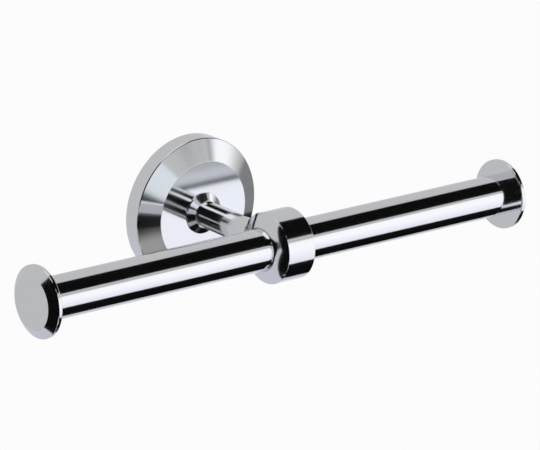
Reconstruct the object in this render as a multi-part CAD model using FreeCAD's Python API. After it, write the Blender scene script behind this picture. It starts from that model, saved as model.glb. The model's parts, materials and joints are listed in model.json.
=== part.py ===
import FreeCAD, Part
import math
import os

from FreeCAD import Vector

# Double toilet roll holder, millimetres. The wall is the plane y = 0 and the room is on the -Y side.
# The post's axis is the Y axis. The bar's axis is parallel to X, in front of the origin.

# Driving dimensions of the whole holder
overall_length = 285.0  # between the flat outer faces of the end caps
wall_distance = 71.0  # from the wall to the bar's axis

# Bar tube
bar_radius = 10.0
bar_wall = 1.5

# Bar core, the tapped slug in the middle of the tube
core_length = 24.0

# Ring hub
ring_radius = 17.0
ring_width = 15.4  # of the straight outside; the domed sides stand out past it
ring_dome_radius = 30.5  # of the sphere that each side is part of
ring_edge_round = 0.3
ring_bore_chamfer = 0.4
post_socket_depth = 3.0  # the post's end sits this deep in the ring

# End caps
cap_radius = 17.0
cap_rim_width = 2.0
cap_bevel_depth = 3.0
cap_face_radius = 12.6
cap_rim_round = 0.6
cap_face_round = 0.4
cap_skin = 1.5  # solid metal left in front of the stud's hole
cap_spigot_length = 2.0

# Tube plugs
plug_length = 12.0
plug_end_gap = 0.3  # between the cap's spigot and the plug

# Post
post_radius = 6.5

# Post collar
collar_radius = 10.1
collar_rim = 0.5
collar_height = 2.5
collar_lip = 0.2  # how far the cone's top stands out past the post

# Rosette cover
cover_radius = 35.6
cover_rim_depth = 8.7
cover_bevel_depth = 5.3
cover_face_radius = 25.4
cover_wall = 3.0
cover_rim_round = 0.8
cover_face_round = 0.4
cover_back_chamfer = 0.3

# Wall bracket
bracket_gap = 0.35  # radial, inside the cover's rim
bracket_front_gap = 0.8  # behind the inside corner of the cover
bracket_web = 2.5
bracket_rim_width = 4.5
slot_spacing = 36.0
slot_width = 5.0
slot_length = 8.0

# Threads, drawn plain at their nominal radius
thread_radius = 3.0
thread_gap = 0.05  # radial, between a screw and its tapped hole
thread_tip_chamfer = 0.6
drill_past = 1.5  # a tapped hole goes this much deeper than its screw
bolt_hole_gap = 0.25  # radial, in holes that the screws pass through

# Post fixing bolt and its washers
bolt_length = 20.0
bolt_head_height = 4.0
bolt_head_across_flats = 10.0
flat_washer_radius = 9.0
flat_washer_thickness = 1.6
lock_washer_radius = 5.9
lock_washer_thickness = 1.6
lock_washer_slit = 1.0

# Studs
hub_stud_length = 25.0
hub_stud_in_post = 12.0
cap_stud_length = 16.0

# Dowel pins
pin_radius = 1.0
pin_gap = 0.02  # radial
pin_chamfer = 0.2
foot_pin_length = 8.0
head_pin_length = 6.0

# Rosette grub screw
grub_radius = 2.0
grub_length = 4.0
grub_recess = 0.3  # below the surface of the cover's rim
grub_tip_radius = 0.5
grub_socket_across_flats = 2.0
grub_socket_depth = 2.0
grub_seat_gap = 0.1  # between the cone tip and the bracket's groove

# Shared fits
slip_gap = 0.05  # radial, post in its socket, bar in the ring, plugs and spigots in the tube
end_gap = 0.2  # at the blind end of a pin, a stud or its hole
cut_overrun = 1.0  # how far a cutter runs past the metal
same_place = 0.001  # two points nearer than this are one

# Directions and the points that the pieces are built from
outwards = Vector(0, -1, 0)
to_the_right = Vector(1, 0, 0)
upwards = Vector(0, 0, 1)
wall_point = Vector(0, 0, 0)
bar_centre = outwards * wall_distance

# Distances out from the wall, along the post's axis
cover_depth = cover_rim_depth + cover_bevel_depth
cover_inside_face = cover_depth - cover_wall
collar_front = cover_depth + collar_height
ring_back = wall_distance - ring_radius
post_front = ring_back + post_socket_depth
bolt_seat = cover_inside_face - flat_washer_thickness - lock_washer_thickness
bolt_end = bolt_seat + bolt_length
foot_pin_start = cover_inside_face + end_gap
foot_pin_end = foot_pin_start + foot_pin_length
head_pin_start = post_front - head_pin_length / 2
head_pin_end = post_front + head_pin_length / 2
hub_stud_start = post_front - hub_stud_in_post
hub_stud_end = hub_stud_start + hub_stud_length

# Inside of the cover: its bevel is parallel to the outside at the wall thickness
bevel_slope = cover_bevel_depth / (cover_radius - cover_face_radius)
bevel_wall_along_axis = cover_wall * math.hypot(1, bevel_slope)
cover_inside_radius = cover_radius - cover_wall
cover_inside_corner = cover_rim_depth + cover_wall * bevel_slope - bevel_wall_along_axis
inside_bevel_depth = cover_inside_face - cover_inside_corner
cover_inside_face_radius = cover_inside_radius - inside_bevel_depth / bevel_slope

# Bracket: its groove takes the grub screw's cone at the middle of its edge
bracket_radius = cover_inside_radius - bracket_gap
bracket_depth = cover_inside_corner - bracket_front_gap
groove_place = bracket_depth / 2
grub_start = cover_radius - grub_recess
grub_apex = grub_start - grub_length - grub_tip_radius
groove_bottom = grub_apex - grub_seat_gap

# Radii of the holes and of what goes inside the tube
through_hole_radius = thread_radius + bolt_hole_gap
screw_radius = thread_radius - thread_gap
tube_inside_radius = bar_radius - bar_wall
tube_fill_radius = tube_inside_radius - slip_gap
pin_hole_radius = pin_radius + pin_gap
pin_height = (thread_radius + post_radius) / 2

# Distances along the bar from its middle. Each side of the ring is part of a sphere with its centre on
# the bar's axis, past the ring's other side.
dome_centre = ring_width / 2 - math.sqrt(ring_dome_radius**2 - ring_radius**2)
bar_end = overall_length / 2
cap_inner_face = bar_end - cap_bevel_depth - cap_rim_width
spigot_end = cap_inner_face - cap_spigot_length
cap_hole_end = bar_end - cap_skin
cap_stud_end = cap_hole_end - end_gap
cap_stud_start = cap_stud_end - cap_stud_length
plug_end = spigot_end - plug_end_gap
plug_start = plug_end - plug_length


def on_post(distance):
    """Point on the post's axis at a distance out from the wall."""
    return outwards * distance


def pin_line(distance):
    """Point on the line of the dowel pins, above the post's axis."""
    return on_post(distance) + upwards * pin_height


def bulge(start, end, radius):
    """Arc between two corners of an outline, bulging to the right of the way from start to end.

    The outline is drawn in the plane square to the outward direction.
    """
    half = (end - start) / 2
    to_the_side = half.cross(outwards).normalize()
    rise = radius - math.sqrt(radius**2 - half.Length**2)
    return Part.Arc(start, start + half + to_the_side * rise, end).toShape()


def turned(outline, foot, direction, arcs=()):
    """Solid of revolution from (radius, distance along the axis) points in order round the outline.

    Arcs are (corner number, radius) pairs: the edge that starts at that corner is an arc.
    """
    corners = [Vector(radius, 0, along) for radius, along in outline]
    edges = [Part.LineSegment(*ends).toShape() for ends in zip(corners, corners[1:] + corners[:1])]
    for number, radius in arcs:
        edges[number] = bulge(corners[number], corners[(number + 1) % len(corners)], radius)
    face = Part.Face(Part.Wire(edges))
    solid = face.revolve(Vector(0, 0, 0), upwards, 360)
    solid.Placement = FreeCAD.Placement(foot, FreeCAD.Rotation(upwards, direction))
    return solid


def rod(radius, start, end):
    """Round bar between two points, also the cutter of a round hole."""
    return Part.makeCylinder(radius, start.distanceToPoint(end), start, end - start)


def hexagon_bar(across_flats, start, end, corner_direction):
    """Six-sided bar between two points, with one corner in the given direction."""
    axis = end - start
    corner = corner_direction * (across_flats / math.sqrt(3))
    turns = [FreeCAD.Rotation(axis, 60 * step) for step in range(6)]
    corners = [start + turn.multVec(corner) for turn in turns]
    return Part.Face(Part.makePolygon(corners + corners[:1])).extrude(axis)


def circles(solid, radius, centre):
    """Circular edges of a solid with the given radius and centre."""
    found = []
    for edge in solid.Edges:
        curve = edge.Curve
        if not isinstance(curve, Part.Circle):
            continue
        if abs(curve.Radius - radius) < same_place and curve.Center.distanceToPoint(centre) < same_place:
            found.append(edge)
    return found


def chamfered_rod(radius, chamfer, start, end):
    """Round bar with both ends chamfered, for pins and studs."""
    length = start.distanceToPoint(end)
    tip_radius = radius - chamfer
    outline = [(0, 0), (tip_radius, 0), (radius, chamfer), (radius, length - chamfer)]
    outline += [(tip_radius, length), (0, length)]
    return turned(outline, start, end - start)


def ring_outline(inside, outside, start, end):
    """Outline of a plain ring or tube between two places along its axis."""
    return [(inside, start), (outside, start), (outside, end), (inside, end)]


def tapped_hole(start, end):
    """Cutter of a tapped hole on the post's axis between two distances out from the wall."""
    return rod(thread_radius, on_post(start), on_post(end))


def pin_hole(start, end):
    """Cutter of a dowel pin's hole between two distances out from the wall."""
    return rod(pin_hole_radius, pin_line(start), pin_line(end))


def drilled(solid, *cutters):
    """The solid with each of the cutters taken out of it."""
    for cutter in cutters:
        solid = solid.cut(cutter)
    return solid


def screw_slot(middle):
    """Cutter of one round-ended slot that runs along the bar's direction."""
    radius = slot_width / 2
    reach = slot_length / 2 - radius
    back = on_post(-cut_overrun)
    front = on_post(bracket_web + cut_overrun)
    ends = [to_the_right * (middle + side * reach) for side in (-1, 1)]
    corner = ends[0] + back - upwards * radius
    cutter = Part.makeBox(ends[0].distanceToPoint(ends[1]), slot_width, back.distanceToPoint(front))
    cutter.Placement = FreeCAD.Placement(corner, FreeCAD.Rotation(to_the_right, 90))
    for end in ends:
        cutter = cutter.fuse(rod(radius, end + back, end + front))
    return cutter.removeSplitter()


def wall_bracket():
    """Round plate with a raised rim, a V groove round its edge and two screw slots."""
    rim_inside = bracket_radius - bracket_rim_width
    outline = [(0, 0), (bracket_radius, 0), (bracket_radius, bracket_depth)]
    outline += [(rim_inside, bracket_depth), (rim_inside, bracket_web), (0, bracket_web)]
    plate = turned(outline, wall_point, outwards)
    open_side = bracket_radius + cut_overrun
    half_opening = open_side - groove_bottom
    groove = [(groove_bottom, groove_place), (open_side, groove_place - half_opening)]
    groove += [(open_side, groove_place + half_opening)]
    slots = [screw_slot(side * slot_spacing / 2) for side in (-1, 1)]
    return drilled(plate, turned(groove, wall_point, outwards), *slots)


def rosette_cover():
    """Turned shell: straight rim, bevel and flat face, with holes for bolt, pin and grub screw."""
    outline = [(cover_radius, 0), (cover_radius, cover_rim_depth), (cover_face_radius, cover_depth)]
    outline += [(through_hole_radius, cover_depth), (through_hole_radius, cover_inside_face)]
    outline += [(cover_inside_face_radius, cover_inside_face)]
    outline += [(cover_inside_radius, cover_inside_corner), (cover_inside_radius, 0)]
    shell = turned(outline, wall_point, outwards)
    shell = shell.makeFillet(cover_rim_round, circles(shell, cover_radius, on_post(cover_rim_depth)))
    shell = shell.makeFillet(cover_face_round, circles(shell, cover_face_radius, on_post(cover_depth)))
    shell = shell.makeChamfer(cover_back_chamfer, circles(shell, cover_radius, wall_point))
    below_rim = on_post(groove_place) - upwards * (cover_radius + cut_overrun)
    inside_rim = on_post(groove_place) - upwards * (cover_inside_radius - cut_overrun)
    grub_hole = rod(grub_radius, below_rim, inside_rim)
    return drilled(shell, grub_hole, pin_hole(cover_inside_face - cut_overrun, cover_depth + cut_overrun))


def rosette_grub_screw():
    """Cone-point screw with a hexagon socket, in the underside of the rosette's rim."""
    foot = on_post(groove_place) - upwards * grub_start
    body_radius = grub_radius - thread_gap
    cone_start = grub_length - (grub_radius - grub_tip_radius)
    outline = [(0, 0), (body_radius, 0), (body_radius, cone_start)]
    outline += [(grub_tip_radius - thread_gap, grub_length), (0, grub_length)]
    socket_mouth = foot - upwards * cut_overrun
    socket_floor = foot + upwards * grub_socket_depth
    socket = hexagon_bar(grub_socket_across_flats, socket_mouth, socket_floor, to_the_right)
    return drilled(turned(outline, foot, upwards), socket)


def post_backing_washer():
    """Large flat washer against the inside of the rosette's face."""
    back = cover_inside_face - flat_washer_thickness
    outline = ring_outline(through_hole_radius, flat_washer_radius, back, cover_inside_face)
    return turned(outline, wall_point, outwards)


def post_lock_washer():
    """Split washer under the bolt's head, with its slit upwards."""
    front = bolt_seat + lock_washer_thickness
    outline = ring_outline(through_hole_radius, lock_washer_radius, bolt_seat, front)
    slit_depth = lock_washer_thickness + 2 * cut_overrun
    slit_height = lock_washer_radius + cut_overrun
    slit_corner = on_post(front + cut_overrun) - to_the_right * (lock_washer_slit / 2)
    slit = Part.makeBox(lock_washer_slit, slit_depth, slit_height, slit_corner)
    return drilled(turned(outline, wall_point, outwards), slit)


def post_fixing_bolt():
    """Hexagon-head bolt from inside the cover into the foot of the post."""
    head_top = on_post(bolt_seat - bolt_head_height)
    head = hexagon_bar(bolt_head_across_flats, head_top, on_post(bolt_seat), upwards)
    outline = [(0, bolt_seat), (screw_radius, bolt_seat), (screw_radius, bolt_end - thread_tip_chamfer)]
    outline += [(screw_radius - thread_tip_chamfer, bolt_end), (0, bolt_end)]
    return head.fuse(turned(outline, wall_point, outwards)).removeSplitter()


def post_collar():
    """Low cone between the rosette's face and the post, with a bolt hole and a pin hole."""
    outline = [(through_hole_radius, cover_depth), (collar_radius, cover_depth)]
    outline += [(collar_radius, cover_depth + collar_rim), (post_radius + collar_lip, collar_front)]
    outline += [(through_hole_radius, collar_front)]
    cone = turned(outline, wall_point, outwards)
    return drilled(cone, pin_hole(cover_depth - cut_overrun, collar_front + cut_overrun))


def post():
    """Solid round post, tapped at both ends and drilled for the two dowel pins."""
    foot_holes = [
        tapped_hole(collar_front - cut_overrun, bolt_end + drill_past),
        pin_hole(collar_front - cut_overrun, foot_pin_end + end_gap),
    ]
    head_holes = [
        tapped_hole(hub_stud_start - drill_past, post_front + cut_overrun),
        pin_hole(head_pin_start - end_gap, post_front + cut_overrun),
    ]
    return drilled(rod(post_radius, on_post(collar_front), on_post(post_front)), *foot_holes, *head_holes)


def dowel_pin(start, end):
    """Chamfered pin beside the post's axis between two distances out from the wall."""
    return chamfered_rod(pin_radius, pin_chamfer, pin_line(start), pin_line(end))


def dome_place(radius):
    """Distance along the bar from its middle to the ring's domed side, at a radius."""
    return dome_centre + math.sqrt(ring_dome_radius**2 - radius**2)


def ring_hub():
    """Thick ring with domed sides, with a socket for the post's end, a tapped hole and a pin hole.

    The round of its outside edge touches the dome and the straight outside.
    """
    bore = bar_radius + slip_gap
    chamfer_top = bore + ring_bore_chamfer
    round_centre = ring_radius - ring_edge_round
    reach_to_round = ring_dome_radius - ring_edge_round
    dome_end = round_centre * ring_dome_radius / reach_to_round
    side = [(bore, dome_place(bore) - ring_bore_chamfer), (chamfer_top, dome_place(chamfer_top))]
    side += [(dome_end, dome_place(dome_end))]
    side += [(ring_radius, dome_centre + math.sqrt(reach_to_round**2 - round_centre**2))]
    outline = [(radius, -along) for radius, along in side] + side[::-1]
    arcs = [(1, ring_dome_radius), (2, ring_edge_round), (4, ring_edge_round), (5, ring_dome_radius)]
    ring = turned(outline, bar_centre, to_the_right, arcs)
    socket = rod(post_radius + slip_gap, on_post(ring_back - cut_overrun), on_post(post_front))
    stud_hole = tapped_hole(post_front - cut_overrun, wall_distance)
    return drilled(ring, socket, stud_hole, pin_hole(post_front - cut_overrun, head_pin_end + end_gap))


def hub_stud():
    """Stud from the post through the ring into the core of the bar."""
    return chamfered_rod(screw_radius, thread_tip_chamfer, on_post(hub_stud_start), on_post(hub_stud_end))


def bar_tube():
    """Straight tube through the ring, with a hole in its back wall for the hub stud."""
    outline = ring_outline(tube_inside_radius, bar_radius, -cap_inner_face, cap_inner_face)
    tube = turned(outline, bar_centre, to_the_right)
    return drilled(tube, rod(through_hole_radius, on_post(ring_back), bar_centre))


def bar_core():
    """Slug in the middle of the tube, tapped for the hub stud."""
    half_length = to_the_right * (core_length / 2)
    slug = rod(tube_fill_radius, bar_centre - half_length, bar_centre + half_length)
    return drilled(slug, tapped_hole(ring_back, hub_stud_end + drill_past))


def tube_plug(side):
    """Tapped plug fixed inside one end of the tube."""
    outline = ring_outline(thread_radius, tube_fill_radius, plug_start, plug_end)
    return turned(outline, bar_centre, to_the_right * side)


def cap_stud(side):
    """Stud that screws into the plug and into the cap."""
    start = bar_centre + to_the_right * (side * cap_stud_start)
    end = bar_centre + to_the_right * (side * cap_stud_end)
    return chamfered_rod(screw_radius, thread_tip_chamfer, start, end)


def end_cap(side):
    """Flanged cap: flat face, bevel and rim outside, spigot and tapped blind hole towards the tube."""
    rim_front = cap_inner_face + cap_rim_width
    outline = [(0, bar_end), (cap_face_radius, bar_end), (cap_radius, rim_front)]
    outline += [(cap_radius, cap_inner_face), (tube_fill_radius, cap_inner_face)]
    outline += [(tube_fill_radius, spigot_end), (thread_radius, spigot_end)]
    outline += [(thread_radius, cap_hole_end), (0, cap_hole_end)]
    cap = turned(outline, bar_centre, to_the_right * side)
    for place in (rim_front, cap_inner_face):
        centre = bar_centre + to_the_right * (side * place)
        cap = cap.makeFillet(cap_rim_round, circles(cap, cap_radius, centre))
    face_centre = bar_centre + to_the_right * (side * bar_end)
    return cap.makeFillet(cap_face_round, circles(cap, cap_face_radius, face_centre))


pieces = {
    "wall_bracket": wall_bracket(),
    "rosette_cover": rosette_cover(),
    "rosette_grub_screw": rosette_grub_screw(),
    "post_backing_washer": post_backing_washer(),
    "post_lock_washer": post_lock_washer(),
    "post_fixing_bolt": post_fixing_bolt(),
    "post_foot_pin": dowel_pin(foot_pin_start, foot_pin_end),
    "post_collar": post_collar(),
    "post": post(),
    "post_head_pin": dowel_pin(head_pin_start, head_pin_end),
    "hub_stud": hub_stud(),
    "ring_hub": ring_hub(),
    "bar_tube": bar_tube(),
    "bar_core": bar_core(),
}
for side_name, side in (("left", -1), ("right", 1)):
    pieces[side_name + "_tube_plug"] = tube_plug(side)
    pieces[side_name + "_cap_stud"] = cap_stud(side)
    pieces[side_name + "_end_cap"] = end_cap(side)

os.makedirs("parts", exist_ok=True)
for node, solid in pieces.items():
    solid.exportStep("parts/" + node + ".step")
    print(node, "solids", len(solid.Solids), "volume", round(solid.Volume, 2), "valid", solid.isValid())
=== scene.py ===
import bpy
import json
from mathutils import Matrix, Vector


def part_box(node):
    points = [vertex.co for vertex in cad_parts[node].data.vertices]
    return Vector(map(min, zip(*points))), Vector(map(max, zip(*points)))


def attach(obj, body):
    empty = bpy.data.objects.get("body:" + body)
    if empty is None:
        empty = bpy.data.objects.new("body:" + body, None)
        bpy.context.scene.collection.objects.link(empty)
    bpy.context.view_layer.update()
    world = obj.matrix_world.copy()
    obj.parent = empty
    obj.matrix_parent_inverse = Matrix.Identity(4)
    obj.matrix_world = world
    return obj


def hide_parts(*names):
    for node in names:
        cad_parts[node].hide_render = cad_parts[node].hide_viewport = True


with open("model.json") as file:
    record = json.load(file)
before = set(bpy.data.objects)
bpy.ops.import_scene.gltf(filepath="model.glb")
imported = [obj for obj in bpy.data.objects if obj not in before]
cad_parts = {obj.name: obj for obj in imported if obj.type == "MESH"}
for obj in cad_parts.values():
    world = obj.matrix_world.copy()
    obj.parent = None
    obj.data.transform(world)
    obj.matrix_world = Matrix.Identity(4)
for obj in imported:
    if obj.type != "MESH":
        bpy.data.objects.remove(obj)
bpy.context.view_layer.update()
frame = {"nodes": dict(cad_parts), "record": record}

import json
import math

import bpy
import numpy as np
from mathutils import Matrix, Vector

bl_info = {
    "name": "Double toilet roll holder",
    "version": (1, 0, 0),
    "blender": (4, 5, 0),
    "location": "3D View > Sidebar > Roll Holder",
    "description": "Builds the skins, finishes and studio of a wall-mounted holder for two toilet rolls",
    "category": "Add Mesh",
}

# Lengths are in metres, in the packed model's frame: the wall is y = 0, the room is on the -Y side,
# the post's axis is the Y axis and the bar's axis is parallel to X.
mm = 0.001
tenth_mm = 0.0001
x_axis, y_axis = 0, 1
low_end, high_end = 0, 1


# Sizes and colours


def node_middle(node, axis):
    """Middle of a packed node's box along one axis, to a tenth of a millimetre."""
    low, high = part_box(node)
    return round((low[axis] + high[axis]) / 2 / tenth_mm) * tenth_mm


def node_end(node, axis, end):
    """One end of a packed node's box along one axis, to a tenth of a millimetre."""
    return round(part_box(node)[end][axis] / tenth_mm) * tenth_mm


def length(name, description, default):
    """Property that holds a length."""
    return bpy.props.FloatProperty(
        name=name, description=description, default=default, precision=5, subtype="DISTANCE", unit="LENGTH"
    )


def share(name, description, default):
    """Property that holds a number between 0 and 1."""
    return bpy.props.FloatProperty(
        name=name, description=description, default=default, min=0.0, max=1.0, subtype="FACTOR"
    )


def angle(name, description, default):
    """Property that holds an angle, given in degrees and kept in radians."""
    return bpy.props.FloatProperty(
        name=name, description=description, default=math.radians(default), subtype="ANGLE", unit="ROTATION"
    )


def colour(name, description, default):
    """Property that holds a linear colour."""
    return bpy.props.FloatVectorProperty(
        name=name, description=description, default=default, size=3, min=0.0, subtype="COLOR"
    )


class RosetteSizes(bpy.types.PropertyGroup):
    """Rosette cover, collar and grub screw hole."""

    radius: length("Radius", "Outside of the rim", 35.6 * mm)
    depth: length("Depth", "From the wall to the flat face", -node_end("rosette_cover", y_axis, low_end))
    rim_depth: length("Rim depth", "From the wall to the bevel", 8.7 * mm)
    face_radius: length("Face radius", "Edge of the flat face", 25.4 * mm)
    wall: length("Wall", "Thickness of the shell", 3.0 * mm)
    rim_round: length("Rim rounding", "Rounding between rim and bevel", 0.8 * mm)
    face_round: length("Face rounding", "Rounding between bevel and flat face", 0.4 * mm)
    back_chamfer: length("Back chamfer", "Broken edge against the wall", 0.3 * mm)
    bolt_hole_radius: length("Bolt hole", "Radius of the middle hole", 3.25 * mm)
    grub_hole_radius: length("Grub screw hole", "Radius of the hole in the rim's underside", 2.0 * mm)
    grub_hole_place: length(
        "Grub screw place", "From the wall to the hole's axis", -node_middle("rosette_grub_screw", y_axis)
    )
    collar_radius: length("Collar radius", "Foot of the collar", 10.1 * mm)
    collar_rim: length("Collar rim", "Straight edge at the collar's foot", 0.5 * mm)
    collar_front: length(
        "Collar front", "From the wall to the top of the collar", -node_end("post_collar", y_axis, low_end)
    )
    collar_lip: length("Collar lip", "How far the collar's top stands out past the post", 0.2 * mm)
    collar_round: length("Collar rounding", "Rounding of the collar's edges", 0.15 * mm)


class PostSizes(bpy.types.PropertyGroup):
    """Post between the rosette and the ring."""

    radius: length("Radius", "Radius of the post", 6.5 * mm)
    foot: length("Foot", "From the wall to the post's foot", -node_end("post", y_axis, high_end))
    head: length("Head", "From the wall to the post's end in the ring", -node_end("post", y_axis, low_end))
    thread_radius: length("Thread radius", "Radius of the tapped holes", 3.0 * mm)
    foot_hole_end: length("Foot hole", "From the wall to the bottom of the foot's tapped hole", 29.3 * mm)
    head_hole_end: length("Head hole", "From the wall to the bottom of the head's tapped hole", 43.5 * mm)


class BarSizes(bpy.types.PropertyGroup):
    """Bar tube, ring hub and end caps."""

    distance: length("Distance", "From the wall to the bar's axis", -node_middle("left_end_cap", y_axis))
    tube_radius: length("Bar radius", "Outside of the tube", 10.0 * mm)
    tube_inside: length("Bar inside", "Inside of the tube", 8.5 * mm)
    stud_hole_radius: length("Stud hole", "Radius of the hole in the tube's back wall", 3.25 * mm)
    half_length: length(
        "Half length", "From the middle to the tube's end", node_end("bar_tube", x_axis, high_end)
    )
    ring_radius: length("Ring radius", "Outside of the ring hub", 17.0 * mm)
    ring_half_width: length("Half ring", "From the middle to the end of the straight outside", 7.7 * mm)
    ring_dome_radius: length("Ring dome", "Radius of the sphere that each side is part of", 30.5 * mm)
    ring_bore: length("Ring bore", "Radius of the ring's bore", 10.05 * mm)
    ring_round: length("Ring rounding", "Rounding of the ring's outside edges", 0.3 * mm)
    ring_chamfer: length("Bore chamfer", "Chamfer of the ring's bore", 0.4 * mm)
    socket_radius: length("Socket radius", "Hole in the ring for the post's end", 6.55 * mm)
    cap_radius: length("Cap radius", "Outside of the end caps", 17.0 * mm)
    cap_rim: length("Cap rim", "Width of the cap's straight rim", 2.0 * mm)
    cap_face_radius: length("Cap face", "Edge of the cap's flat face", 12.6 * mm)
    cap_end: length(
        "Cap end", "From the middle to the cap's flat face", node_end("right_end_cap", x_axis, high_end)
    )
    cap_rim_round: length("Cap rim rounding", "Rounding of the cap's rim", 0.6 * mm)
    cap_face_round: length("Cap face rounding", "Rounding between the cap's bevel and face", 0.4 * mm)
    spigot_radius: length("Spigot radius", "Cap's spigot inside the tube", 8.45 * mm)
    spigot_end: length(
        "Spigot end", "From the middle to the spigot's end", node_end("right_end_cap", x_axis, low_end)
    )
    cap_hole_end: length("Cap hole", "From the middle to the bottom of the cap's tapped hole", 141.0 * mm)


class Finishes(bpy.types.PropertyGroup):
    """Colours and roughness of the metals."""

    chrome: colour("Chrome", "Polished chrome", (0.90, 0.905, 0.91))
    chrome_haze: colour("Chrome haze", "Chrome under a faint film of handling", (0.84, 0.845, 0.85))
    chrome_roughness: share("Chrome roughness", "Roughness of clean chrome", 0.008)
    zinc: colour("Zinc", "Die-cast wall bracket", (0.50, 0.51, 0.53))
    steel: colour("Steel", "Zinc-plated screws, washers and pins", (0.60, 0.60, 0.57))
    brass: colour("Brass", "Turned brass inside the bar", (0.74, 0.56, 0.28))


class Studio(bpy.types.PropertyGroup):
    """Camera, floor and surroundings."""

    azimuth: angle("Azimuth", "Camera's direction round the holder", -39.799)
    elevation: angle("Elevation", "Camera's height above the horizon", 18.645)
    roll: angle("Roll", "Camera's turn about its own line of sight", 1.997)
    camera_distance: length("Camera distance", "From the middle of the bar", 1.9619)
    camera_right: length("Camera right", "Shift of the camera's line to its right", -4.581 * mm)
    camera_up: length("Camera up", "Shift of the camera's line upwards", 9.363 * mm)
    lens: bpy.props.FloatProperty(name="Lens", description="Focal length in millimetres", default=281.15)
    sensor: bpy.props.FloatProperty(name="Sensor", description="Sensor width in millimetres", default=36.0)
    floor_height: length("Floor height", "Floor below the bar", -0.70)
    floor_colour: colour("Floor", "Pale floor", (0.80, 0.80, 0.81))
    floor_in_chrome: colour("Floor in chrome", "Tone in which chrome shows the floor", (0.62, 0.63, 0.70))
    room_in_chrome: colour("Room in chrome", "Tone in which chrome shows the room", (0.60, 0.60, 0.605))
    room_light: colour("Room light", "Soft light from all round", (0.60, 0.60, 0.61))


# Surfaces


def unit(vector):
    """The vector or array of vectors at length 1."""
    vector = np.asarray(vector, float)
    return vector / np.linalg.norm(vector, axis=-1, keepdims=True)


class Skin:
    """Points, faces and face-corner normals of one piece, gathered as whole arrays."""

    def __init__(self):
        self.points, self.wear, self.count = [], [], 0
        self.faces, self.normals = {3: [], 4: []}, {3: [], 4: []}

    def add_points(self, points, wear=0.0):
        """Adds an array of points, with their edge wear, and returns their indices in the same layout."""
        points = np.asarray(points, float)
        indices = self.count + np.arange(points[..., 0].size).reshape(points.shape[:-1])
        self.points.append(points.reshape(-1, 3))
        self.wear.append(np.broadcast_to(wear, points.shape[:-1]).ravel())
        self.count += indices.size
        return indices

    def add_faces(self, corners, normals):
        """Adds faces with the normal of each corner, and turns round those that face the other way."""
        sides = corners.shape[-1]
        corners, normals = corners.reshape(-1, sides), normals.reshape(-1, sides, 3)
        where = np.concatenate(self.points)[corners]
        flat = np.cross(where[:, 1] - where[:, 0], where[:, 2] - where[:, 0])
        away = (flat * normals.sum(1)).sum(1) < 0
        corners[away], normals[away] = corners[away, ::-1], normals[away, ::-1]
        self.faces[sides].append(corners)
        self.normals[sides].append(normals)

    def add_band(self, first, second, first_normals, second_normals):
        """Joins two closed rows of points with quads, each row with its own normals."""
        first_next, second_next = np.roll(first, -1), np.roll(second, -1)
        corners = np.stack([first, first_next, second_next, second], -1)
        sets = [first_normals, np.roll(first_normals, -1, 0), np.roll(second_normals, -1, 0), second_normals]
        self.add_faces(corners, np.stack(sets, 1))

    def make(self, name):
        """The smooth mesh object, with the gathered normals and without points that no face uses."""
        points = np.concatenate(self.points)
        used = np.zeros(len(points), bool)
        groups = [
            (sides, np.concatenate(self.faces[sides]), np.concatenate(self.normals[sides]))
            for sides in (3, 4)
            if self.faces[sides]
        ]
        for _, corners, _ in groups:
            used[corners] = True
        new_index = np.cumsum(used) - 1
        loops = np.concatenate([new_index[corners].ravel() for _, corners, _ in groups])
        totals = np.concatenate([np.full(len(corners), sides) for sides, corners, _ in groups])
        normals = np.concatenate([normals.reshape(-1, 3) for _, _, normals in groups])
        mesh = bpy.data.meshes.new(name)
        mesh.vertices.add(int(used.sum()))
        mesh.vertices.foreach_set("co", points[used].astype(np.float32).ravel())
        mesh.loops.add(len(loops))
        mesh.loops.foreach_set("vertex_index", loops.astype(np.int32))
        mesh.polygons.add(len(totals))
        mesh.polygons.foreach_set("loop_start", (np.cumsum(totals) - totals).astype(np.int32))
        mesh.update(calc_edges=True)
        wear = mesh.attributes.new("edge_wear", "FLOAT", "POINT")
        wear.data.foreach_set("value", np.concatenate(self.wear)[used].astype(np.float32))
        mesh.shade_smooth()
        mesh.normals_split_custom_set(unit(normals).tolist())
        piece = bpy.data.objects.new(name, mesh)
        bpy.context.scene.collection.objects.link(piece)
        return piece


class Axis:
    """A turning axis: its foot and the three directions along, side and up, right-handed."""

    def __init__(self, foot, along, side):
        self.foot, self.along, self.side = (np.array(values, float) for values in (foot, along, side))
        self.up = np.cross(self.along, self.side)

    def round_from(self, turn):
        """Directions away from the axis at an array of angles: side times cosine plus up times sine."""
        return np.multiply.outer(np.cos(turn), self.side) + np.multiply.outer(np.sin(turn), self.up)


holding = 0.3 * mm  # from a worn edge to the row of points that keeps its wear and shading narrow
shortest_held = 4 * holding  # a shorter stretch gets no such rows
straight = 1e-6  # a smaller turn, in radians, is none
on_the_axis = 1e-7  # a smaller radius is none
arc_steps = 7
sharp_wear = 0.6


def normal_of(way):
    """Normal on the right of a direction in the outline's plane."""
    return np.array([way[1], -way[0]])


def corner_rows(spot, old, new, rounding):
    """Outline points of one corner, as (place, normal before, normal after, wear).

    A rounding is an arc that touches both of its neighbours: it starts the rounding's radius times the
    tangent of half the turn before the corner, and its normal turns evenly.
    """
    turn = math.atan2(old[0] * new[1] - old[1] * new[0], old @ new)
    first = normal_of(old)
    if rounding == 0.0 or abs(turn) < straight:
        return [(spot, first, normal_of(new), 0.0 if abs(turn) < straight else sharp_wear)]
    side = math.copysign(1.0, turn)
    centre = spot - old * rounding * math.tan(abs(turn) / 2) - side * rounding * first
    rows = []
    for swing in np.linspace(0.0, turn, arc_steps + 1):
        cosine, sine = math.cos(swing), math.sin(swing)
        normal = np.array([first[0] * cosine - first[1] * sine, first[0] * sine + first[1] * cosine])
        rows.append((centre + side * rounding * normal, normal, normal, 1.0))
    return rows


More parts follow.
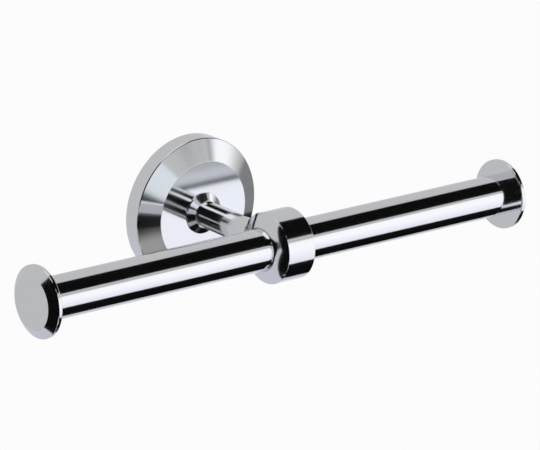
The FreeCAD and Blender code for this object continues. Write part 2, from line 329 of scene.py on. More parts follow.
def held_rows(rows, closed):
    """The outline's rows, with one more, unworn, near each worn point on every stretch that isn't short."""
    held = []
    for i, (place, before, after, wear) in enumerate(rows):
        held.append((place, before, after, wear))
        if i == len(rows) - 1 and not closed:
            break
        next_place, _, _, next_wear = rows[(i + 1) % len(rows)]
        gap = np.linalg.norm(next_place - place)
        if gap < shortest_held:
            continue
        way = (next_place - place) / gap
        if wear > 0.0:
            held.append((place + way * holding, after, after, 0.0))
        if next_wear > 0.0:
            held.append((next_place - way * holding, after, after, 0.0))
    return held


def rounded_outline(corners, closed=True):
    """Outline with rounded corners, from (radius, along, rounding, normal) with the metal on the left.

    A point of a curved stretch has no rounding and brings its own normal. Returns the points, the normals
    at the start and the end of each stretch, and the edge wear of each point.
    """
    spots = np.array([corner[:2] for corner in corners], float)
    ways = unit(np.roll(spots, -1, 0) - spots)
    last = len(spots) - 1
    rows = []
    for i, (spot, corner) in enumerate(zip(spots, corners)):
        old, new = ways[i - 1], ways[i]
        if not closed and i in (0, last):
            only = normal_of(new if i == 0 else old)
            rows.append((spot, only, only, 0.0))
        elif len(corner) > 3:
            curved = np.array(corner[3], float)
            rows.append((spot, curved, curved, 0.0))
        else:
            rows += corner_rows(spot, old, new, corner[2] if len(corner) > 2 else 0.0)
    points, ends, starts, worn = (np.array(column, float) for column in zip(*held_rows(rows, closed)))
    return points, starts, np.roll(ends, -1, 0), worn


def add_turned(skin, axis, outline, segments, closed=True, holes=()):
    """Adds a surface of revolution and returns its grid of point indices, one row per outline point.

    Point (i, j) is the axis's foot, plus the outline's distance i along the axis, plus the outline's
    radius i in the direction at angle j. A row on the axis is one single point. Holes are (row numbers,
    column numbers) blocks of the grid that are left open.
    """
    points, starts, ends, worn = outline
    turn = np.arange(segments) * (2 * math.pi / segments)
    rays = axis.round_from(turn)
    flat = points[:, 0] < on_the_axis
    grid = np.zeros((len(points), segments), int)
    ring_points = axis.foot + points[:, None, 1, None] * axis.along + points[:, None, 0, None] * rays
    grid[~flat] = skin.add_points(ring_points[~flat], worn[~flat, None])
    for row in np.flatnonzero(flat):
        grid[row] = skin.add_points(ring_points[row, :1], worn[row])[0]
    rows = np.arange(len(points) if closed else len(points) - 1)
    following = (rows + 1) % len(points)
    keep = np.ones((len(rows), segments), bool)
    for hole_rows, hole_columns in holes:
        keep[np.ix_(sorted(hole_rows)[:-1], hole_columns[:-1])] = False

    def spread(normals):
        """The outline's normals, turned to every angle."""
        return normals[:, None, 0, None] * rays + normals[:, None, 1, None] * axis.along

    def beside(values):
        """The values one column further round."""
        return np.roll(values, -1, 1)

    low, high = spread(starts[rows]), spread(ends[rows])
    corners = np.stack([grid[rows], beside(grid[rows]), beside(grid[following]), grid[following]], -1)
    normals = np.stack([low, beside(low), beside(high), high], 2)
    whole = keep & ~(flat[rows] | flat[following])[:, None]
    skin.add_faces(corners[whole], normals[whole])
    for pointed, chosen in ((flat[rows], [0, 2, 3]), (flat[following], [0, 1, 2])):
        fan = keep & pointed[:, None]
        if fan.any():
            skin.add_faces(corners[fan][:, chosen], normals[fan][:, chosen])
    return grid


def block_edge(grid, rows, columns):
    """Indices round the edge of a block of a grid, starting along its first row."""
    return np.concatenate(
        [
            grid[rows[0], columns[:-1]],
            grid[rows[:-1], columns[-1]],
            grid[rows[-1], columns[::-1][:-1]],
            grid[rows[::-1][:-1], columns[0]],
        ]
    )


def rows_at(outline, radius, distances):
    """Numbers of the outline's points at the given radius and distances along the axis."""
    points = outline[0]
    return np.array([int(np.argmin(np.hypot(points[:, 0] - radius, points[:, 1] - d))) for d in distances])


def columns_about(turn, half, segments):
    """Numbers of the grid's columns within a half angle of a direction."""
    step = 2 * math.pi / segments
    middle, reach = round(turn / step), round(half / step)
    return np.arange(middle - reach, middle + reach + 1) % segments


class Hole:
    """A round hole through a turned wall, square to the axis, at a turn about it and a place along it.

    It takes the place of a block of the wall's grid, which spans the given half angle, in degrees, and
    half length to each side, in evenly spaced rows. Its mouth has a chamfer as wide as the edge. Steps
    are (height of a floor above the axis, radius of the hole behind it), from the mouth inwards.
    """

    def __init__(self, turn, middle, half_length, rows, half_angle, radius, edge, steps=()):
        self.turn, self.middle, self.half_angle = turn, middle, math.radians(half_angle)
        self.places = middle + np.linspace(-half_length, half_length, rows + 1)
        self.radius, self.edge, self.steps = radius, edge, steps


lead_parts = (0.45, 0.85, 1.0)  # shares of the way from a block's edge to its hole at which rows lie


def bore(skin, axis, hole, outer, inner):
    """Lines a hole from the outer to the inner face of its wall.

    Outer and inner are (radius of the face, its edge of grid points). Rows of points lead from the outer
    edge to the hole's mouth, along the hole and out to the inner edge. On a face of radius R, the point at
    an offset t across and a along lies at height square root of (R squared - t squared).
    """
    away = axis.round_from(np.array(hole.turn))
    across = axis.round_from(np.array(hole.turn + math.pi / 2))
    middle = axis.foot + axis.along * hole.middle
    every = np.concatenate(skin.points)

    def lift(offsets, height):
        """Points at offsets across and along, and at a height above the axis."""
        spot = middle + np.outer(offsets[:, 0], across) + np.outer(offsets[:, 1], axis.along)
        return spot + np.outer(height, away)

    def on_face(offsets, radius):
        """Points on a face at the given offsets, and the normals there."""
        height = np.sqrt(radius**2 - offsets[:, 0] ** 2)
        return lift(offsets, height), (np.outer(offsets[:, 0], across) + np.outer(height, away)) / radius

    def lead(face, hole_radius, mouth_wear):
        """Rows from a face's grid edge to a circle on the face, and the directions from its middle."""
        radius, edge_points = face
        here = every[edge_points] - middle
        far = np.stack([here @ across, here @ axis.along], -1)
        round_way = unit(far)
        rows = [(edge_points, on_face(far, radius)[1])]
        for part in lead_parts:
            spot, normals = on_face(far + (round_way * hole_radius - far) * part, radius)
            rows.append((skin.add_points(spot, mouth_wear if part == 1.0 else 0.0), normals))
        return rows, round_way

    def join(rows, side):
        """Bands between the rows, whose normals point away from the axis (1) or towards it (-1)."""
        for (first, first_normals), (second, second_normals) in zip(rows, rows[1:]):
            skin.add_band(first, second, side * first_normals, side * second_normals)

    mouth_radius = hole.radius + hole.edge
    outer_rows, round_way = lead(outer, mouth_radius, 1.0)
    join(outer_rows, 1)
    inwards = -(np.outer(round_way[:, 0], across) + np.outer(round_way[:, 1], axis.along))
    facing = np.broadcast_to(away, inwards.shape)

    def circle(radius, height, wear=0.0):
        """A row of points round the hole."""
        return skin.add_points(lift(round_way * radius, height), wear)

    mouth, mouth_normals = outer_rows[-1]
    radius = hole.radius
    top = circle(radius, np.sqrt(outer[0] ** 2 - (round_way[:, 0] * mouth_radius) ** 2) - hole.edge, 1.0)
    skin.add_band(mouth, top, mouth_normals, inwards)
    for floor, next_radius in hole.steps:
        bottom, lip = circle(radius, floor), circle(next_radius, floor)
        skin.add_band(top, bottom, inwards, inwards)
        skin.add_band(bottom, lip, facing, facing)
        top, radius = lip, next_radius
    inner_rows, _ = lead(inner, radius, 0.0)
    skin.add_band(top, inner_rows[-1][0], inwards, inwards)
    join(inner_rows, -1)


def drilled_skin(axis, corners, segments, faces, hole):
    """Skin turned from the corners, with a hole through its faces of the given outer and inner radius."""
    outline = rounded_outline(corners)
    columns = columns_about(hole.turn, hole.half_angle, segments)
    blocks = [rows_at(outline, radius, hole.places) for radius in faces]
    skin = Skin()
    grid = add_turned(skin, axis, outline, segments, holes=[(rows, columns) for rows in blocks])
    edges = [(radius, block_edge(grid, rows, columns)) for radius, rows in zip(faces, blocks)]
    bore(skin, axis, hole, *edges)
    return skin


# Materials


class Shade:
    """A number, colour or vector that varies over a surface. Arithmetic on it adds Math nodes."""

    def __init__(self, painter, socket):
        self.painter, self.socket = painter, socket

    def maths(self, operation, *values):
        """What a Math node makes of the values."""
        return self.painter.node("Math", {"operation": operation}, dict(enumerate(values)))

    def __add__(self, other):
        return self.maths("ADD", self, other)

    def __radd__(self, other):
        return self.maths("ADD", other, self)

    def __sub__(self, other):
        return self.maths("SUBTRACT", self, other)

    def __rsub__(self, other):
        return self.maths("SUBTRACT", other, self)

    def __mul__(self, other):
        return self.maths("MULTIPLY", self, other)

    def __rmul__(self, other):
        return self.maths("MULTIPLY", other, self)


class Painter:
    """Adds nodes to one material or world."""

    def __init__(self, owner):
        owner.use_nodes = True
        self.tree = owner.node_tree
        self.tree.nodes.clear()

    def node(self, kind, settings=None, inputs=None, output=0):
        """One node of the given type: its settings first, then the values or links of its sockets."""
        node = self.tree.nodes.new("ShaderNode" + kind)
        for name, value in (settings or {}).items():
            if name == "stops":
                for element, (position, tone) in zip(node.color_ramp.elements, value):
                    element.position, element.color = position, (*[tone] * 3, 1.0)
            else:
                setattr(node, name, value)
        for name, value in (inputs or {}).items():
            if isinstance(value, Shade):
                self.tree.links.new(value.socket, node.inputs[name])
            else:
                node.inputs[name].default_value = value
        return Shade(self, node.outputs[output])

    def outputs(self, names, kind, inputs=None):
        """Several outputs of one node."""
        node = self.node(kind, None, inputs).socket.node
        return [Shade(self, node.outputs[name]) for name in names]

    def mix(self, factor, first, second):
        """Colour between two colours; inputs 6 and 7 and output 2 are the node's colour ones."""
        return self.node("Mix", {"data_type": "RGBA"}, {0: factor, 6: first, 7: second}, 2)

    def mix_shaders(self, factor, first, second):
        """Shader between two shaders."""
        return self.node("MixShader", None, {0: factor, 1: first, 2: second})

    def here(self):
        """Object coordinates."""
        return self.node("TexCoord", output="Object")

    def noise(self, scale, detail, roughness):
        """Noise between 0 and 1; scale is in waves per metre."""
        inputs = {"Vector": self.here(), "Scale": scale, "Detail": detail, "Roughness": roughness}
        return self.node("TexNoise", None, inputs)

    def ramp(self, value, low, high):
        """0 where the value is under the low stop, 1 over the high one, and even between them."""
        return self.node("ValToRGB", {"stops": ((low, 0.0), (high, 1.0))}, {"Fac": value})

    def smooth_step(self, value, low, high):
        """0 where the value is under the low end, 1 over the high one, and smooth between them."""
        inputs = {"Value": value, "From Min": low, "From Max": high}
        return self.node("MapRange", {"interpolation_type": "SMOOTHSTEP"}, inputs)

    def bump(self, height, distance):
        """Normal of a relief of the given height in metres."""
        return self.node("Bump", None, {"Height": height, "Distance": distance})

    def emission(self, tone):
        """Light of the given colour at strength 1."""
        return self.node("Emission", None, {"Color": tone})

    def metal(self, base, roughness, normal):
        """Closes the material with a metal."""
        inputs = {"Base Color": base, "Metallic": 1.0, "Roughness": roughness, "Normal": normal}
        self.close(self.node("BsdfPrincipled", None, inputs), "Material")

    def close(self, shader, kind):
        """Joins the shader to the output of the material or world."""
        output = self.tree.nodes.new("ShaderNodeOutput" + kind)
        self.tree.links.new(shader.socket, output.inputs["Surface"])


def rgba(tone, strength=1.0):
    """A share of a colour, with full alpha."""
    return (*[value * strength for value in tone], 1.0)


def polished_chrome(material, finishes):
    """Mirror chrome: a faint cloudy film, fine specks, a barely uneven surface and duller, worn edges."""
    paint = Painter(material)
    cloud = paint.ramp(paint.noise(scale=38.0, detail=4.0, roughness=0.55), 0.48, 0.80)
    specks = paint.noise(scale=1400.0, detail=3.0, roughness=0.6)
    edges = paint.node("Attribute", {"attribute_name": "edge_wear"}, output="Fac")
    worn = edges * paint.ramp(paint.noise(scale=260.0, detail=3.0, roughness=0.6), 0.35, 0.75)
    film = cloud * 0.55 + worn * 0.35
    paint.metal(
        base=paint.mix(film, rgba(finishes.chrome), rgba(finishes.chrome_haze)),
        roughness=finishes.chrome_roughness + cloud * 0.010 + worn * 0.07 + specks * 0.004,
        normal=paint.bump(paint.noise(scale=120.0, detail=2.0, roughness=0.5), 0.003 * mm),
    )


def cast_zinc(material, finishes):
    """Die-cast zinc: dull, mottled, with a fine grainy skin."""
    paint = Painter(material)
    mottle = paint.noise(scale=160.0, detail=5.0, roughness=0.6)
    grain = paint.noise(scale=2600.0, detail=4.0, roughness=0.7)
    paint.metal(
        base=paint.mix(mottle, rgba(finishes.zinc, 0.78), rgba(finishes.zinc, 1.12)),
        roughness=0.38 + mottle * 0.18 + grain * 0.10,
        normal=paint.bump(grain + mottle * 0.6, 0.03 * mm),
    )


def plated_steel(material, finishes):
    """Bright zinc-plated steel: slightly warm and cool patches and a fine grain."""
    paint = Painter(material)
    patch = paint.noise(scale=420.0, detail=3.0, roughness=0.55)
    grain = paint.noise(scale=4200.0, detail=3.0, roughness=0.6)
    cool = [value * strength for value, strength in zip(finishes.steel, (0.92, 0.97, 1.08))]
    paint.metal(
        base=paint.mix(patch, rgba(finishes.steel), rgba(cool)),
        roughness=0.22 + patch * 0.12 + grain * 0.06,
        normal=paint.bump(grain, 0.012 * mm),
    )


def turned_brass(material, finishes):
    """Turned brass: fine grooves across the bar's direction and a few darker, tarnished patches."""
    paint = Painter(material)
    tarnish = paint.ramp(paint.noise(scale=240.0, detail=4.0, roughness=0.6), 0.42, 0.78)
    inputs = {"Vector": paint.here(), "Scale": 700.0, "Distortion": 0.6}
    grooves = paint.node("TexWave", {"bands_direction": "X"}, inputs, "Fac")
    paint.metal(
        base=paint.mix(tarnish * 0.7, rgba(finishes.brass), rgba(finishes.brass, 0.62)),
        roughness=0.20 + tarnish * 0.22 + grooves * 0.06,
        normal=paint.bump(grooves, 0.015 * mm),
    )


makers = {
    "polished_chrome": polished_chrome,
    "zinc_casting": cast_zinc,
    "plated_steel": plated_steel,
    "turned_brass": turned_brass,
}


def material_for(slot):
    """The finish of a slot, made once."""
    if slot not in bpy.data.materials:
        makers[slot](bpy.data.materials.new(slot), bpy.context.scene.roll_holder_finishes)
    return bpy.data.materials[slot]


# Pieces


outwards, to_the_right, to_the_left = (0, -1, 0), (1, 0, 0), (-1, 0, 0)
into_the_wall, upwards = (0, 1, 0), (0, 0, 1)
post_axis = Axis((0, 0, 0), outwards, to_the_right)
underneath, backwards = math.radians(270), 0.0  # turns about the post's axis and about the bar's
round_segments, rosette_segments = 288, 360
dome_rows = 25


def finish_piece(skin, node, slot="polished_chrome"):
    """Makes a skin into the piece that takes the place of a packed node, with its finish and body."""
    piece = skin.make(node + "_skin")
    piece.data.materials.append(material_for(slot))
    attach(piece, "root")
    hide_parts(node)


class RosetteCover(bpy.types.Operator):
    """Turned shell of the rosette, with the grub screw's hole in the underside of its rim"""

    bl_idname = "roll_holder.rosette_cover"
    bl_label = "Rosette cover"

    def execute(self, context):
        sizes = context.scene.roll_holder_rosette
        slope = (sizes.depth - sizes.rim_depth) / (sizes.radius - sizes.face_radius)
        inside_radius = sizes.radius - sizes.wall
        inside_face = sizes.depth - sizes.wall
        inside_corner = sizes.rim_depth + sizes.wall * slope - sizes.wall * math.hypot(1, slope)
        inside_face_radius = inside_radius - (inside_face - inside_corner) / slope
        hole = Hole(
            turn=underneath,
            middle=sizes.grub_hole_place,
            half_length=2.6 * mm,
            rows=10,
            half_angle=5,
            radius=sizes.grub_hole_radius,
            edge=0.15 * mm,
        )
        corners = [
            (sizes.radius - sizes.back_chamfer, 0.0),
            (sizes.radius, sizes.back_chamfer),
            *[(sizes.radius, place) for place in hole.places],
            (sizes.radius, sizes.rim_depth, sizes.rim_round),
            (sizes.face_radius, sizes.depth, sizes.face_round),
            (sizes.bolt_hole_radius, sizes.depth),
            (sizes.bolt_hole_radius, inside_face),
            (inside_face_radius, inside_face),
            (inside_radius, inside_corner),
            *[(inside_radius, place) for place in hole.places[::-1]],
            (inside_radius, 0.0),
        ]
        skin = drilled_skin(post_axis, corners, rosette_segments, (sizes.radius, inside_radius), hole)
        finish_piece(skin, "rosette_cover")
        return {"FINISHED"}


class PostCollar(bpy.types.Operator):
    """Low cone round the foot of the post"""

    bl_idname = "roll_holder.post_collar"
    bl_label = "Post collar"

    def execute(self, context):
        sizes = context.scene.roll_holder_rosette
        top_radius = context.scene.roll_holder_post.radius + sizes.collar_lip
        corners = [
            (sizes.bolt_hole_radius, sizes.depth),
            (sizes.collar_radius, sizes.depth),
            (sizes.collar_radius, sizes.depth + sizes.collar_rim, sizes.collar_round),
            (top_radius, sizes.collar_front, sizes.collar_round / 2),
            (sizes.bolt_hole_radius, sizes.collar_front),
        ]
        skin = Skin()
        add_turned(skin, post_axis, rounded_outline(corners), round_segments)
        finish_piece(skin, "post_collar")
        return {"FINISHED"}


class Post(bpy.types.Operator):
    """Round post from the collar into the ring, tapped at both ends"""

    bl_idname = "roll_holder.post"
    bl_label = "Post"

    def execute(self, context):
        sizes = context.scene.roll_holder_post
        corners = [
            (0.0, sizes.foot_hole_end),
            (sizes.thread_radius, sizes.foot_hole_end),
            (sizes.thread_radius, sizes.foot),
            (sizes.radius, sizes.foot),
            (sizes.radius, sizes.head),
            (sizes.thread_radius, sizes.head),
            (sizes.thread_radius, sizes.head_hole_end),
            (0.0, sizes.head_hole_end),
        ]
        skin = Skin()
        add_turned(skin, post_axis, rounded_outline(corners, closed=False), round_segments, closed=False)
        finish_piece(skin, "post")
        return {"FINISHED"}


class RingHub(bpy.types.Operator):
    """Thick ring round the bar, with the post's socket in its back"""

    bl_idname = "roll_holder.ring_hub"
    bl_label = "Ring hub"

    def execute(self, context):
        sizes, post = context.scene.roll_holder_bar, context.scene.roll_holder_post
        half, ball = sizes.ring_half_width, sizes.ring_dome_radius
        dome_centre = half - math.sqrt(ball**2 - sizes.ring_radius**2)
        chamfer_top = sizes.ring_bore + sizes.ring_chamfer
        hole = Hole(
            turn=backwards,
            middle=0.0,
            half_length=half - 0.6 * mm,
            rows=12,
            half_angle=26.25,
            radius=sizes.socket_radius,
            edge=0.05 * mm,
            steps=[(sizes.distance - post.head, post.thread_radius)],
        )

        def dome_place(radius):
            """Distance along the bar to the domed side: the ball's height over its centre at a radius."""
            return dome_centre + math.sqrt(ball**2 - radius**2)

        def dome(side):
            """Points of a domed side from the bore outwards; normals point away from the ball's centre."""
            radii = np.linspace(chamfer_top, sizes.ring_radius - sizes.ring_round, dome_rows)[1:]
            places = [(r, dome_place(r)) for r in radii]
            return [(r, side * d, 0.0, (r / ball, side * (d - dome_centre) / ball)) for r, d in places]

        bore_end, top = dome_place(sizes.ring_bore) - sizes.ring_chamfer, dome_place(chamfer_top)
        corners = [
            *dome(-1),
            (sizes.ring_radius, -half, sizes.ring_round),
            *[(sizes.ring_radius, place) for place in hole.places],
            (sizes.ring_radius, half, sizes.ring_round),
            *dome(1)[::-1],
            (chamfer_top, top),
            (sizes.ring_bore, bore_end),
            *[(sizes.ring_bore, place) for place in hole.places[::-1]],
            (sizes.ring_bore, -bore_end),
            (chamfer_top, -top),
        ]
        axis = Axis((0, -sizes.distance, 0), to_the_right, into_the_wall)
        skin = drilled_skin(axis, corners, round_segments, (sizes.ring_radius, sizes.ring_bore), hole)
        finish_piece(skin, "ring_hub")
        return {"FINISHED"}


class BarTube(bpy.types.Operator):
    """Straight tube through the ring, with the stud's hole in its back wall"""

    bl_idname = "roll_holder.bar_tube"
    bl_label = "Bar tube"

    def execute(self, context):
        sizes = context.scene.roll_holder_bar
        hole = Hole(
            turn=backwards,
            middle=0.0,
            half_length=4.4 * mm,
            rows=8,
            half_angle=30,
            radius=sizes.stud_hole_radius,
            edge=0.05 * mm,
        )
        corners = [
            (sizes.tube_inside, -sizes.half_length),
            (sizes.tube_radius, -sizes.half_length),
            *[(sizes.tube_radius, place) for place in hole.places],
            (sizes.tube_radius, sizes.half_length),
            (sizes.tube_inside, sizes.half_length),
            *[(sizes.tube_inside, place) for place in hole.places[::-1]],
        ]
        axis = Axis((0, -sizes.distance, 0), to_the_right, into_the_wall)
        skin = drilled_skin(axis, corners, round_segments, (sizes.tube_radius, sizes.tube_inside), hole)
        finish_piece(skin, "bar_tube")
        return {"FINISHED"}


class EndCaps(bpy.types.Operator):
    """Flanged caps with a bevelled outer face, a spigot and a tapped blind hole"""

    bl_idname = "roll_holder.end_caps"
    bl_label = "End caps"

    def execute(self, context):
        sizes = context.scene.roll_holder_bar
        thread_radius = context.scene.roll_holder_post.thread_radius
        corners = [
            (0.0, sizes.cap_hole_end),
            (thread_radius, sizes.cap_hole_end),
            (thread_radius, sizes.spigot_end),
            (sizes.spigot_radius, sizes.spigot_end),
            (sizes.spigot_radius, sizes.half_length),
            (sizes.cap_radius, sizes.half_length, sizes.cap_rim_round),
            (sizes.cap_radius, sizes.half_length + sizes.cap_rim, sizes.cap_rim_round),
            (sizes.cap_face_radius, sizes.cap_end, sizes.cap_face_round),
            (0.0, sizes.cap_end),
        ]
        outline = rounded_outline(corners, closed=False)
        sides = (("left_end_cap", to_the_left, upwards), ("right_end_cap", to_the_right, into_the_wall))
        for node, along, beside in sides:
            axis = Axis((0, -sizes.distance, 0), along, beside)
            skin = Skin()
            add_turned(skin, axis, outline, round_segments, closed=False)
            finish_piece(skin, node)
        return {"FINISHED"}


class InnerFittings(bpy.types.Operator):
    """Finishes of the bracket, screws, washers, pins, studs, plugs and core, in their packed shapes"""

    bl_idname = "roll_holder.inner_fittings"
    bl_label = "Inner fittings"

    def execute(self, context):
        slots = {part["node"]: part["material_slot"] for part in frame["record"]["subparts"]}
        for name, node in frame["nodes"].items():
            if node.hide_render:
                continue  # a new piece has taken its place
            node.data.materials.clear()
            node.data.materials.append(material_for(slots[name]))
        return {"FINISHED"}


# Studio


black, white = (0.004, 0.004, 0.004), (1.15, 1.15, 1.15)
card_steps = 24
card_centre = np.array([0.0, -0.05, 0.0])
floor_light = 0.5  # a card with a brighter tone lights the floor too
floor_reach = 30.0
floor_grain = 0.985  # darker tone of the floor's grain, as a share of its colour
shadow_share = 0.06  # how much of the light and shadow on the floor the camera sees over plain white
near_floor, far_floor = 0.85, 1.9  # between these distances the floor's tone in chrome turns into the room's


def stage_mesh(name, points, faces):
    """Mesh that belongs to the studio and not to the holder."""
    mesh = bpy.data.meshes.new(name)
    mesh.from_pydata(np.asarray(points, float).tolist(), [], np.asarray(faces).tolist())
    fitting = bpy.data.objects.new(name, mesh)
    bpy.context.scene.collection.objects.link(fitting)
    return fitting


def glow(name, tone, soft, low):
    """Emission that falls from the tone to a lower share towards the left, right, bottom and top edges."""
    material = bpy.data.materials.new(name)
    paint = Painter(material)
    x, y = paint.outputs((0, 1), "SeparateXYZ", {0: paint.node("TexCoord", output="UV")})
    fade = None
    for value, width in zip((x, 1 - x, y, 1 - y), soft):
        if width > 0.0:
            edge = paint.smooth_step(value, 0.0, width)
            fade = edge if fade is None else fade * edge
    light = rgba(tone) if fade is None else paint.mix(fade, rgba(tone, low), rgba(tone))
    paint.close(paint.emission(light), "Material")
    return material


def hang_card(name, corners, away, tone, soft=(0, 0, 0, 0), low=0.0):
    """Curved card round the holder that the camera doesn't see and that casts no shadow.

    Corners are the low left, low right, high right and high left one, as longitude and latitude in
    degrees. Point (u, v) lies in the direction whose longitude and latitude are mixed from the corners'
    in the shares u and v. Soft is the width of the soft left, right, bottom and top edges, as a share of
    the card, and low is the share of the tone that is left at them.
    """
    share_row = np.linspace(0.0, 1.0, card_steps + 1)
    u, v = np.meshgrid(share_row, share_row)
    shares = np.stack([(1 - u) * (1 - v), u * (1 - v), u * v, (1 - u) * v], -1)
    lon, lat = np.moveaxis(np.radians(shares @ np.array(corners, float)), -1, 0)
    ways = np.stack([np.sin(lon) * np.cos(lat), -np.cos(lon) * np.cos(lat), np.sin(lat)], -1)
    grid = np.arange(u.size).reshape(u.shape)
    faces = np.stack([grid[:-1, :-1], grid[:-1, 1:], grid[1:, 1:], grid[1:, :-1]], -1).reshape(-1, 4)
    card = stage_mesh(name, (card_centre + ways * away).reshape(-1, 3), faces)
    corner_uv = np.stack([u.ravel()[faces], v.ravel()[faces]], -1)
    card.data.uv_layers.new(name="sheet").data.foreach_set("uv", corner_uv.ravel())
    card.data.materials.append(glow(name, tone, soft, low))
    card.visible_camera = False
    card.visible_shadow = False
    card.visible_transmission = False
    card.visible_diffuse = max(tone) > floor_light


def shown_and_mirrored(paint, seen, mirrored, other):
    """One shader for camera and transmission rays, one for glossy rays and one for all others."""
    rays = ("Is Camera Ray", "Is Glossy Ray", "Is Transmission Ray")
    camera, glossy, through = paint.outputs(rays, "LightPath")
    behind = paint.mix_shaders(glossy, other, mirrored)
    return paint.mix_shaders(camera.maths("MAXIMUM", camera, through), behind, seen)


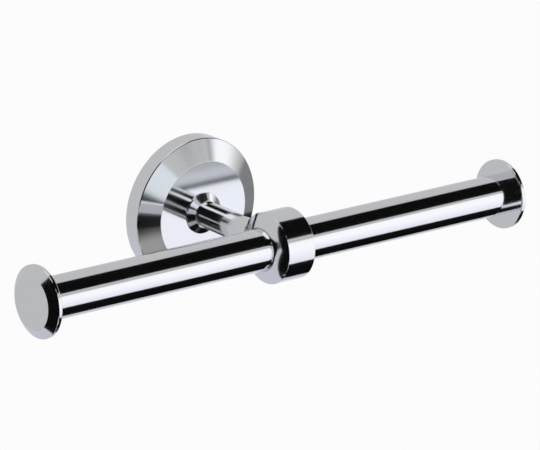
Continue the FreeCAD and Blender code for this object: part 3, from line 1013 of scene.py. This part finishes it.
class Stage(bpy.types.Operator):
    """Pale floor, white surroundings, soft boxes, black cards and the camera"""

    bl_idname = "roll_holder.stage"
    bl_label = "Floor, light and camera"

    def execute(self, context):
        studio = context.scene.roll_holder_studio
        self.lay_floor(studio)
        self.light_room(context, studio)
        self.hang_cards()
        self.set_camera(context, studio, context.scene.roll_holder_bar.distance)
        context.scene.view_settings.view_transform = "Standard"
        return {"FINISHED"}

    def lay_floor(self, studio):
        """Floor that is near white to the camera and toned in chrome."""
        sides = ((-1, -1), (1, -1), (1, 1), (-1, 1))
        corners = [(x * floor_reach, y * floor_reach, studio.floor_height) for x, y in sides]
        floor = stage_mesh("floor", corners, [(0, 1, 2, 3)])
        material = bpy.data.materials.new("floor")
        paint = Painter(material)
        grain = paint.noise(scale=3.0, detail=4.0, roughness=0.5)
        tone = paint.mix(grain, rgba(studio.floor_colour), rgba(studio.floor_colour, floor_grain))
        matt = paint.node("BsdfDiffuse", None, {"Color": tone})
        seen = paint.mix_shaders(shadow_share, paint.emission((1.0, 1.0, 1.0, 1.0)), matt)
        away = paint.node("VectorMath", {"operation": "LENGTH"}, {0: paint.here()}, "Value")
        far = paint.smooth_step(away, near_floor, far_floor)
        mirrored = paint.emission(paint.mix(far, rgba(studio.floor_in_chrome), rgba(studio.room_in_chrome)))
        paint.close(shown_and_mirrored(paint, seen, mirrored, matt), "Material")
        floor.data.materials.append(material)

    def light_room(self, context, studio):
        """World that is white to the camera, grey in chrome and a soft light for the rest."""
        world = bpy.data.worlds.new("studio")
        context.scene.world = world
        paint = Painter(world)
        tones = ((1.0, 1.0, 1.0, 1.0), rgba(studio.room_in_chrome), rgba(studio.room_light))
        seen, mirrored, light = [paint.node("Background", None, {"Color": tone}) for tone in tones]
        paint.close(shown_and_mirrored(paint, seen, mirrored, light), "World")

    def hang_cards(self):
        """Soft boxes and black flags: name, corners, distance and tone of each."""
        near_white, lavender, pale = (1.15, 1.155, 1.165), (1.10, 1.115, 1.19), (0.84, 0.88, 0.93)
        brownish, grey, backdrop = (0.38, 0.37, 0.36), (0.24, 0.24, 0.245), (0.80, 0.81, 0.86)
        key = ((8, -9), (84, -9), (84, 32), (8, 14))
        hang_card("key_softbox", key, 3.8, near_white, soft=(0.1, 0.25, 0, 0.2), low=0.33)
        lower = ((8, -34), (78, -34), (78, -6), (8, -6))
        hang_card("lower_softbox", lower, 1.15, lavender, soft=(0, 0, 1.0, 0), low=0.85)
        hang_card("fill_softbox", ((-14.6, -4), (8, -9), (8, 22), (-14.6, 24)), 4.0, pale)
        hang_card("strip_softbox", ((-16, 37), (5, 38), (5, 47), (-16, 46)), 3.5, white)
        hang_card("ceiling_softbox", ((-180, 67), (180, 67), (180, 89.9), (-180, 89.9)), 3.5, white)
        low_card = ((-20, -52), (6, -52), (6, -24), (-20, -24))
        hang_card("low_card", low_card, 0.70, brownish, soft=(0, 0, 0, 0.52), low=0.3)
        hang_card("low_softbox", ((-62, -47), (-41, -45), (-41, -26), (-60, -26)), 0.72, white)
        hang_card("flag_low", ((6, -66), (38, -66), (38, -35), (6, -35)), 0.74, black)
        hang_card("flag_low_right", ((38, -66), (104, -66), (104, -21), (38, -35)), 0.74, black)
        hang_card("flag_left", ((-104, -52), (-16.3, -38), (-16.3, 2), (-83, -8)), 0.78, black)
        hang_card("flag_left_high", ((-83, -9), (-15.8, -2), (-15.8, 34), (-103, 27)), 0.90, black)
        hang_card("flag_under", ((-100, -88), (6, -88), (6, -50), (-104, -51)), 0.69, black)
        far, top = 4.2, 66
        hang_card("flag_up_left", ((-102, 26), (-43, 26), (-43, top), (-102, top)), far, black)
        hang_card("flag_up", ((-43, 29.6), (40.5, 29.4), (40.5, top), (-43, top)), far, black)
        hang_card("flag_up_right", ((40.5, 27.5), (102, 25), (102, top), (40.5, top)), far, black)
        hang_card("flag_side", ((78, -34), (106, -34), (106, 12), (84, 12)), 1.18, grey)
        right = ((118, -54), (150, -54), (150, 12), (118, 12))
        hang_card("backdrop_right", right, 0.83, backdrop, soft=(0.2, 0.2, 0.1, 0.4), low=0.75)

    def set_camera(self, context, studio, bar_distance):
        """Camera at its azimuth and elevation, then shifted, and rolled about its line of sight."""
        turn, height, roll = studio.azimuth, studio.elevation, studio.roll
        reach = math.cos(height)
        back = Vector((math.sin(turn) * reach, -math.cos(turn) * reach, math.sin(height)))
        level = Vector((math.cos(turn), math.sin(turn), 0.0))
        upright = back.cross(level)
        right = level * math.cos(roll) + upright * math.sin(roll)
        up = upright * math.cos(roll) - level * math.sin(roll)
        spot = Vector((0.0, -bar_distance, 0.0)) + back * studio.camera_distance
        spot += level * studio.camera_right + upright * studio.camera_up
        data = bpy.data.cameras.new("camera")
        data.lens, data.sensor_width = studio.lens, studio.sensor
        data.clip_start, data.clip_end = 0.1, 100.0
        camera = bpy.data.objects.new("camera", data)
        context.scene.collection.objects.link(camera)
        turned = Matrix((right, up, back)).transposed().to_4x4()
        camera.matrix_world = Matrix.Translation(spot) @ turned
        context.scene.camera = camera


# Add-on


class RollHolderPanel(bpy.types.Panel):
    """Sizes, colours and pieces of the roll holder"""

    bl_idname = "ROLLHOLDER_PT_main"
    bl_label = "Double toilet roll holder"
    bl_space_type = "VIEW_3D"
    bl_region_type = "UI"
    bl_category = "Roll Holder"

    def draw(self, context):
        for operator in operators:
            self.layout.operator(operator.bl_idname)
        for name, group in groups.items():
            box = self.layout.box()
            box.label(text=group.__doc__.rstrip("."))
            for field in group.__annotations__:
                box.prop(getattr(context.scene, name), field)


groups = {
    "roll_holder_rosette": RosetteSizes,
    "roll_holder_post": PostSizes,
    "roll_holder_bar": BarSizes,
    "roll_holder_finishes": Finishes,
    "roll_holder_studio": Studio,
}
operators = (RosetteCover, PostCollar, Post, RingHub, BarTube, EndCaps, InnerFittings, Stage)


def register():
    for group in (*groups.values(), *operators, RollHolderPanel):
        bpy.utils.register_class(group)
    for name, group in groups.items():
        setattr(bpy.types.Scene, name, bpy.props.PointerProperty(type=group))


def unregister():
    for name in groups:
        delattr(bpy.types.Scene, name)
    for group in (RollHolderPanel, *reversed(operators), *reversed(groups.values())):
        bpy.utils.unregister_class(group)


def main():
    """Registers the add-on and builds every piece and the stage."""
    register()
    for operator in operators:
        name = operator.bl_idname.split(".")[1]
        if getattr(bpy.ops.roll_holder, name)() != {"FINISHED"}:
            raise RuntimeError("the operator " + name + " didn't finish")


if __name__ == "__main__":
    main()
